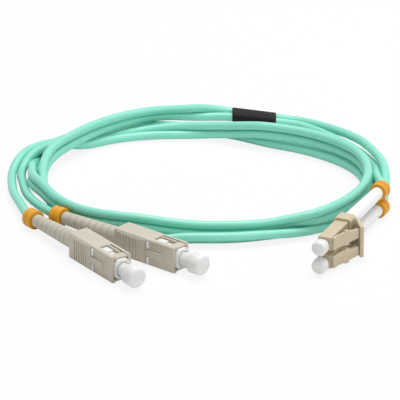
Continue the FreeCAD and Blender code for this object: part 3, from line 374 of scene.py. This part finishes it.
def between_marks(wound, column):
    """A smooth value between the marks."""
    index = 1
    while index < len(WOUND) - 1 and WOUND[index][0] < wound:
        index += 1
    low, high = WOUND[index - 1], WOUND[index]
    width = high[0] - low[0]
    u = (wound - low[0]) / width
    leave, arrive = mark_slope(index - 1, column) * width, mark_slope(index, column) * width
    return ((2 * u ** 3 - 3 * u ** 2 + 1) * low[column] + (u ** 3 - 2 * u ** 2 + u) * leave
            + (3 * u ** 2 - 2 * u ** 3) * high[column] + (u ** 3 - u ** 2) * arrive)


def wound_point(wound, side):
    """A point of one strand of the wound pair, side 1 for strand a and -1 for strand b."""
    lean = math.radians(between_marks(wound, 3))
    half = side * sizes().pitch / MM / 2
    reach = between_marks(wound, 1) + half * math.cos(lean)
    angle = math.radians(180 - wound)
    height = between_marks(wound, 2) + half * math.sin(lean)
    return (COIL_MIDDLE + Vector((reach * math.cos(angle), reach * math.sin(angle), height))) * MM


def from_coil(spot):
    return (COIL_MIDDLE + Vector(spot)) * MM


def out_of_boot(plug, crimp, boot_end, droop=0.0):
    """Start of a strand at its crimp, a point where the boot ends and one at the end of the clip."""
    spots = (crimp - CRIMP_START, boot_end + BEFORE_BOOT_END, boot_end - PAST_CLIP)
    return [on_plug(plug, spot, droop=droop) for spot in spots]


def strand_points(side):
    near, far = (NEAR_PLUG, NEAR_DROOP), (FAR_PLUG, 0.0)
    plug, droop = near if side > 0 else far
    small = LOWER_PLUG if side > 0 else UPPER_PLUG
    left = SC_LEG_A if side > 0 else SC_LEG_B
    right = LC_LEG_A if side > 0 else LC_LEG_B
    points = out_of_boot(plug, SQUARE_CRIMP, SQUARE_BOOT_END, droop)
    points += [from_coil(spot) for spot in left]
    last = WOUND[-1][0]
    points += [wound_point(last * index / COIL_STATIONS, side) for index in range(COIL_STATIONS + 1)]
    first = from_coil(right[0])
    points.append(points[-1].lerp(first, SLEEVE_SPOT))
    points += [from_coil(spot) for spot in right]
    points += out_of_boot(small, SMALL_CRIMP, SMALL_BOOT_END)[::-1]
    return points


def spline_points(strand):
    """Points of a strand's own spline, read from a copy without thickness."""
    curve = strand.data.copy()
    curve.bevel_depth = 0.0
    thin = bpy.data.objects.new("thin_strand", curve)
    line = bpy.data.meshes.new_from_object(thin)
    points = [vertex.co.copy() for vertex in line.vertices]
    bpy.data.objects.remove(thin)
    bpy.data.curves.remove(curve)
    bpy.data.meshes.remove(line)
    return points


def point_across(points, across):
    """Where a strand's back run passes a given place from left to right."""
    for here, after in zip(points[len(points) // 2:], points[len(points) // 2 + 1:]):
        if here.y > BACK_RUN and here.x <= across < after.x:
            return here.lerp(after, (across - here.x) / (after.x - here.x))
    raise RuntimeError("the strand does not pass the sleeve")


class PATCHCORD_OT_strands(bpy.types.Operator):
    """Lay both strands from the square plugs, through the coil, to the small plugs"""
    bl_idname = "patchcord.strands"
    bl_label = "Strands"

    def execute(self, context):
        for tag, side in (("a", 1), ("b", -1)):
            curve = bpy.data.curves.new("strand_" + tag, "CURVE")
            curve.dimensions = "3D"
            curve.resolution_u = 4
            curve.bevel_depth = sizes().strand / 2
            curve.bevel_resolution = 5
            curve.use_fill_caps = True
            points = strand_points(side)
            spline = curve.splines.new("NURBS")
            spline.points.add(len(points) - 1)
            for knot, point in zip(spline.points, points):
                knot.co = (*point, 1.0)
            spline.order_u = 3
            spline.use_endpoint_u = True
            piece = bpy.data.objects.new("strand_" + tag, curve)
            context.collection.objects.link(piece)
            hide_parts("sc_leg_" + tag, "coil_" + tag, "lc_leg_" + tag)
            give(piece, FINISHES["jacket"], "core")
        return {"FINISHED"}


class PATCHCORD_OT_cord_facts(bpy.types.Operator):
    """Build the names of the remade and kept parts of both small plugs, and report nothing"""
    bl_idname = "patchcord.cord_facts"
    bl_label = "Cord facts"

    def execute(self, context):
        remade = ("body", "latch", "dust_cap", "marker_clip")
        kept = ("boot", "ferrule", "ferrule_flange", "spring", "rear_body", "crimp_sleeve")
        for tag, plug, droop, small in (("a", NEAR_PLUG, NEAR_DROOP, "lower"), ("b", FAR_PLUG, 0.0, "upper")):
            names = ["lc_%s_%s_moulded" % (small, part) for part in remade]
            names += ["lc_%s_%s" % (small, part) for part in kept]
        return {"FINISHED"}


class PATCHCORD_OT_inner_parts(bpy.types.Operator):
    """Finish the ferrules, springs, stops and crimps inside the plugs"""
    bl_idname = "patchcord.inner_parts"
    bl_label = "Inner parts"

    def execute(self, context):
        endings = ("_ferrule", "_ferrule_flange", "_spring", "_stop_body", "_rear_body",
                   "_crimp_ring", "_crimp_sleeve")
        stay([node for node in SLOT_OF if node.endswith(endings)])
        return {"FINISHED"}


class PATCHCORD_OT_square_plugs(bpy.types.Operator):
    """Round and finish the grips, inner frames and boots of the two square plugs"""
    bl_idname = "patchcord.square_plugs"
    bl_label = "Square plugs"

    def execute(self, context):
        for tag in ("near", "far"):
            softened("sc_%s_grip" % tag, sizes().edge)
            softened("sc_%s_plug_frame" % tag, sizes().edge)
            stay(["sc_%s_boot" % tag])
            self.insertion_marks(tag, NEAR_PLUG if tag == "near" else FAR_PLUG)
        return {"FINISHED"}

    def insertion_marks(self, tag, plug):
        """White bars in the two grooves beside the key bar, with softened corners."""
        bars = []
        depth, height = 0.6, 2.35
        along, side, apart, rounding = -10.95, -3.9, 2.62, 0.00012
        for up in (apart, -apart):
            deselect()
            bpy.ops.mesh.primitive_cube_add(size=1.0)
            bar = bpy.context.object
            bar.data.transform(Matrix.Diagonal((sizes().mark, depth * MM, height * MM, 1.0)))
            bar.data.transform(plug_matrix(plug) @ Matrix.Translation(Vector((along, side, up)) * MM))
            pick(bar)
            bpy.ops.object.mode_set(mode="EDIT")
            bpy.ops.mesh.select_all(action="SELECT")
            bpy.ops.mesh.bevel(offset=rounding, segments=2, affect="EDGES")
            bpy.ops.object.mode_set(mode="OBJECT")
            bars.append(bar)
        deselect()
        for bar in bars:
            bar.select_set(True)
        bpy.context.view_layer.objects.active = bars[0]
        bpy.ops.object.join()
        bars[0].name = "sc_%s_insertion_marks" % tag
        give(bars[0], FINISHES["frame"], BODY_OF["sc_%s_grip" % tag])


class PATCHCORD_OT_small_plugs(bpy.types.Operator):
    """Round and finish the bodies, latches, boots, clip and trigger of the small plugs"""
    bl_idname = "patchcord.small_plugs"
    bl_label = "Small plugs"

    def execute(self, context):
        for tag in ("lower", "upper"):
            softened("lc_%s_body" % tag, sizes().edge)
            softened("lc_%s_latch" % tag, sizes().edge * 0.8)
            stay(["lc_%s_boot" % tag])
        softened("duplex_clip", sizes().edge)
        softened("duplex_trigger", sizes().edge)
        return {"FINISHED"}


class PATCHCORD_OT_caps_and_clips(bpy.types.Operator):
    """Finish the dust caps and marker clips, and shrink the sleeve on"""
    bl_idname = "patchcord.caps_and_clips"
    bl_label = "Caps and clips"

    def execute(self, context):
        for plug in ("sc_near", "sc_far", "lc_lower", "lc_upper"):
            softened(plug + "_dust_cap", sizes().edge * 0.8)
            softened(plug + "_marker_clip", sizes().edge * 1.2)
        self.sleeve()
        return {"FINISHED"}

    def sleeve(self):
        """Shrunk tubing: an oblong round both strands, drawn out along their middle line."""
        low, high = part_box("breakout_sleeve")
        lines = [spline_points(bpy.data.objects["strand_" + tag]) for tag in ("a", "b")]
        middles = []
        for step in range(SLEEVE_STATIONS + 1):
            across = low[0] + (high[0] - low[0]) * step / SLEEVE_STATIONS
            far, near = [point_across(line, across) for line in lines]
            middles.append((far + near) / 2)
            if step == SLEEVE_STATIONS // 2:
                apart = far - near
        deselect()
        bpy.ops.mesh.primitive_circle_add(vertices=SLEEVE_SPOTS, radius=SLEEVE_REACH * MM, fill_type="NGON")
        piece = bpy.context.object
        piece.name = "breakout_sleeve_shrunk"
        flat = Vector((0.0, apart.y, apart.z)).normalized()
        rise = Vector((0.0, flat.z, -flat.y))
        upright = Matrix((rise, flat, Vector((1.0, 0.0, 0.0)))).transposed().to_4x4()
        for vertex in piece.data.vertices:
            if abs(vertex.co.y) > 0.0001:
                vertex.co.y += math.copysign(apart.length / 2, vertex.co.y)
        piece.data.transform(Matrix.Translation(middles[0]) @ upright)
        bpy.ops.object.mode_set(mode="EDIT")
        bpy.ops.mesh.select_all(action="SELECT")
        for here, after in zip(middles, middles[1:]):
            bpy.ops.mesh.extrude_region_move(TRANSFORM_OT_translate={"value": after - here})
        bpy.ops.mesh.select_all(action="SELECT")
        bpy.ops.mesh.normals_make_consistent(inside=False)
        bpy.ops.object.mode_set(mode="OBJECT")
        rounding = piece.modifiers.new("Rounding", "BEVEL")
        rounding.width = 0.0002
        rounding.segments = 2
        rounding.limit_method = "ANGLE"
        rounding.angle_limit = math.radians(60.0)
        bpy.ops.object.modifier_apply(modifier="Rounding")
        bpy.ops.object.shade_smooth_by_angle(angle=math.radians(50.0))
        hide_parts("breakout_sleeve")
        give(piece, FINISHES["sleeve"], BODY_OF["breakout_sleeve"])


# The stage: lamps are aimed at the middle of the floor, each with its place, width and watts

FLOOR_SIZE, FLOOR_GAP = 0.8, 0.0003
CAMERA_OFFSET = Vector((0.0, -1.4043, 0.5740))
CAMERA_TILT, CAMERA_LENS = 67.5, 400.95
LAMPS = (("lamp_over", (0.1, 0.2, 1.2), 0.9, 12.5), ("lamp_front", (0.8, -1.1, 0.8), 0.9, 4.6),
         ("lamp_right", (1.1, -0.4, 0.7), 0.7, 1.3))


class PATCHCORD_OT_stage(bpy.types.Operator):
    """Set the white floor, the soft lamps and the camera of the photograph"""
    bl_idname = "patchcord.stage"
    bl_label = "Stage"

    def execute(self, context):
        self.floor()
        self.lamps()
        self.camera(context)
        return {"FINISHED"}

    def floor(self):
        deselect()
        bpy.ops.mesh.primitive_plane_add(size=FLOOR_SIZE, location=(0.0, 0.0, -FLOOR_GAP))
        floor = bpy.context.object
        floor.name = "table"
        material = bpy.data.materials.new("white_table")
        material.use_nodes = True
        tree = material.node_tree
        tree.nodes.clear()
        output = tree.nodes.new("ShaderNodeOutputMaterial")
        diffuse = tree.nodes.new("ShaderNodeBsdfDiffuse")
        diffuse.inputs["Color"].default_value = (0.86, 0.86, 0.86, 1.0)
        glow = tree.nodes.new("ShaderNodeEmission")
        glow.inputs["Strength"].default_value = 1.0
        share = tree.nodes.new("ShaderNodeMath")
        share.operation = "MULTIPLY"
        share.inputs[1].default_value = 0.86
        rays = tree.nodes.new("ShaderNodeLightPath")
        mix = tree.nodes.new("ShaderNodeMixShader")
        tree.links.new(rays.outputs["Is Camera Ray"], share.inputs[0])
        tree.links.new(share.outputs[0], mix.inputs["Fac"])
        tree.links.new(diffuse.outputs[0], mix.inputs[1])
        tree.links.new(glow.outputs[0], mix.inputs[2])
        tree.links.new(mix.outputs[0], output.inputs["Surface"])
        floor.data.materials.append(material)

    def lamps(self):
        for name, place, size, power in LAMPS:
            deselect()
            bpy.ops.object.light_add(type="AREA", location=place)
            lamp = bpy.context.object
            lamp.name = name
            lamp.data.size = size
            lamp.data.energy = power
            lamp.rotation_euler = (-Vector(place)).to_track_quat("-Z", "Y").to_euler()
        world = bpy.data.worlds.new("white_room")
        bpy.context.scene.world = world
        world.use_nodes = True
        tree = world.node_tree
        tree.nodes.clear()
        output = tree.nodes.new("ShaderNodeOutputWorld")
        room = tree.nodes.new("ShaderNodeBackground")
        room.inputs["Color"].default_value = (1.0, 1.0, 1.0, 1.0)
        room.inputs["Strength"].default_value = 0.34
        seen = tree.nodes.new("ShaderNodeBackground")
        seen.inputs["Color"].default_value = (1.0, 1.0, 1.0, 1.0)
        seen.inputs["Strength"].default_value = 1.0
        rays = tree.nodes.new("ShaderNodeLightPath")
        either = tree.nodes.new("ShaderNodeMath")
        either.operation = "MAXIMUM"
        mirror = tree.nodes.new("ShaderNodeMath")
        mirror.operation = "MAXIMUM"
        mix = tree.nodes.new("ShaderNodeMixShader")
        tree.links.new(rays.outputs["Is Camera Ray"], either.inputs[0])
        tree.links.new(rays.outputs["Is Glossy Ray"], either.inputs[1])
        tree.links.new(either.outputs[0], mirror.inputs[0])
        tree.links.new(rays.outputs["Is Transmission Ray"], mirror.inputs[1])
        tree.links.new(mirror.outputs[0], mix.inputs["Fac"])
        tree.links.new(room.outputs[0], mix.inputs[1])
        tree.links.new(seen.outputs[0], mix.inputs[2])
        tree.links.new(mix.outputs[0], output.inputs["Surface"])

    def camera(self, context):
        deselect()
        place = COIL_MIDDLE * MM + CAMERA_OFFSET
        bpy.ops.object.camera_add(location=place, rotation=(math.radians(CAMERA_TILT), 0.0, 0.0))
        camera = bpy.context.object
        camera.name = "photo_camera"
        camera.data.sensor_width = 36.0
        camera.data.lens = CAMERA_LENS
        camera.data.clip_start = 0.05
        camera.data.clip_end = 20.0
        context.scene.camera = camera
        context.scene.view_settings.view_transform = "Standard"


class PATCHCORD_PT_panel(bpy.types.Panel):
    """Panel of the patch cord"""
    bl_idname = "PATCHCORD_PT_panel"
    bl_label = "Patch Cord"
    bl_space_type = "VIEW_3D"
    bl_region_type = "UI"
    bl_category = "Patch Cord"

    def draw(self, context):
        for name in PatchCordSizes.__annotations__:
            self.layout.prop(context.scene.patch_cord_sizes, name)
        for name in PatchCordColours.__annotations__:
            self.layout.prop(context.scene.patch_cord_colours, name)
        for operator in OPERATORS:
            self.layout.operator(operator.bl_idname)


OPERATORS = (PATCHCORD_OT_strands, PATCHCORD_OT_inner_parts, PATCHCORD_OT_square_plugs,
             PATCHCORD_OT_small_plugs, PATCHCORD_OT_caps_and_clips, PATCHCORD_OT_cord_facts,
             PATCHCORD_OT_stage)
CLASSES = (PatchCordSizes, PatchCordColours) + OPERATORS + (PATCHCORD_PT_panel,)


def register():
    for cls in CLASSES:
        bpy.utils.register_class(cls)
    bpy.types.Scene.patch_cord_sizes = bpy.props.PointerProperty(type=PatchCordSizes)
    bpy.types.Scene.patch_cord_colours = bpy.props.PointerProperty(type=PatchCordColours)


def unregister():
    del bpy.types.Scene.patch_cord_colours
    del bpy.types.Scene.patch_cord_sizes
    for cls in reversed(CLASSES):
        bpy.utils.unregister_class(cls)


def main():
    register()
    make_finishes()
    bpy.ops.patchcord.strands()
    bpy.ops.patchcord.inner_parts()
    bpy.ops.patchcord.square_plugs()
    bpy.ops.patchcord.small_plugs()
    bpy.ops.patchcord.caps_and_clips()
    bpy.ops.patchcord.cord_facts()
    bpy.ops.patchcord.stage()
    bpy.context.view_layer.update()


if __name__ == "__main__":
    main()
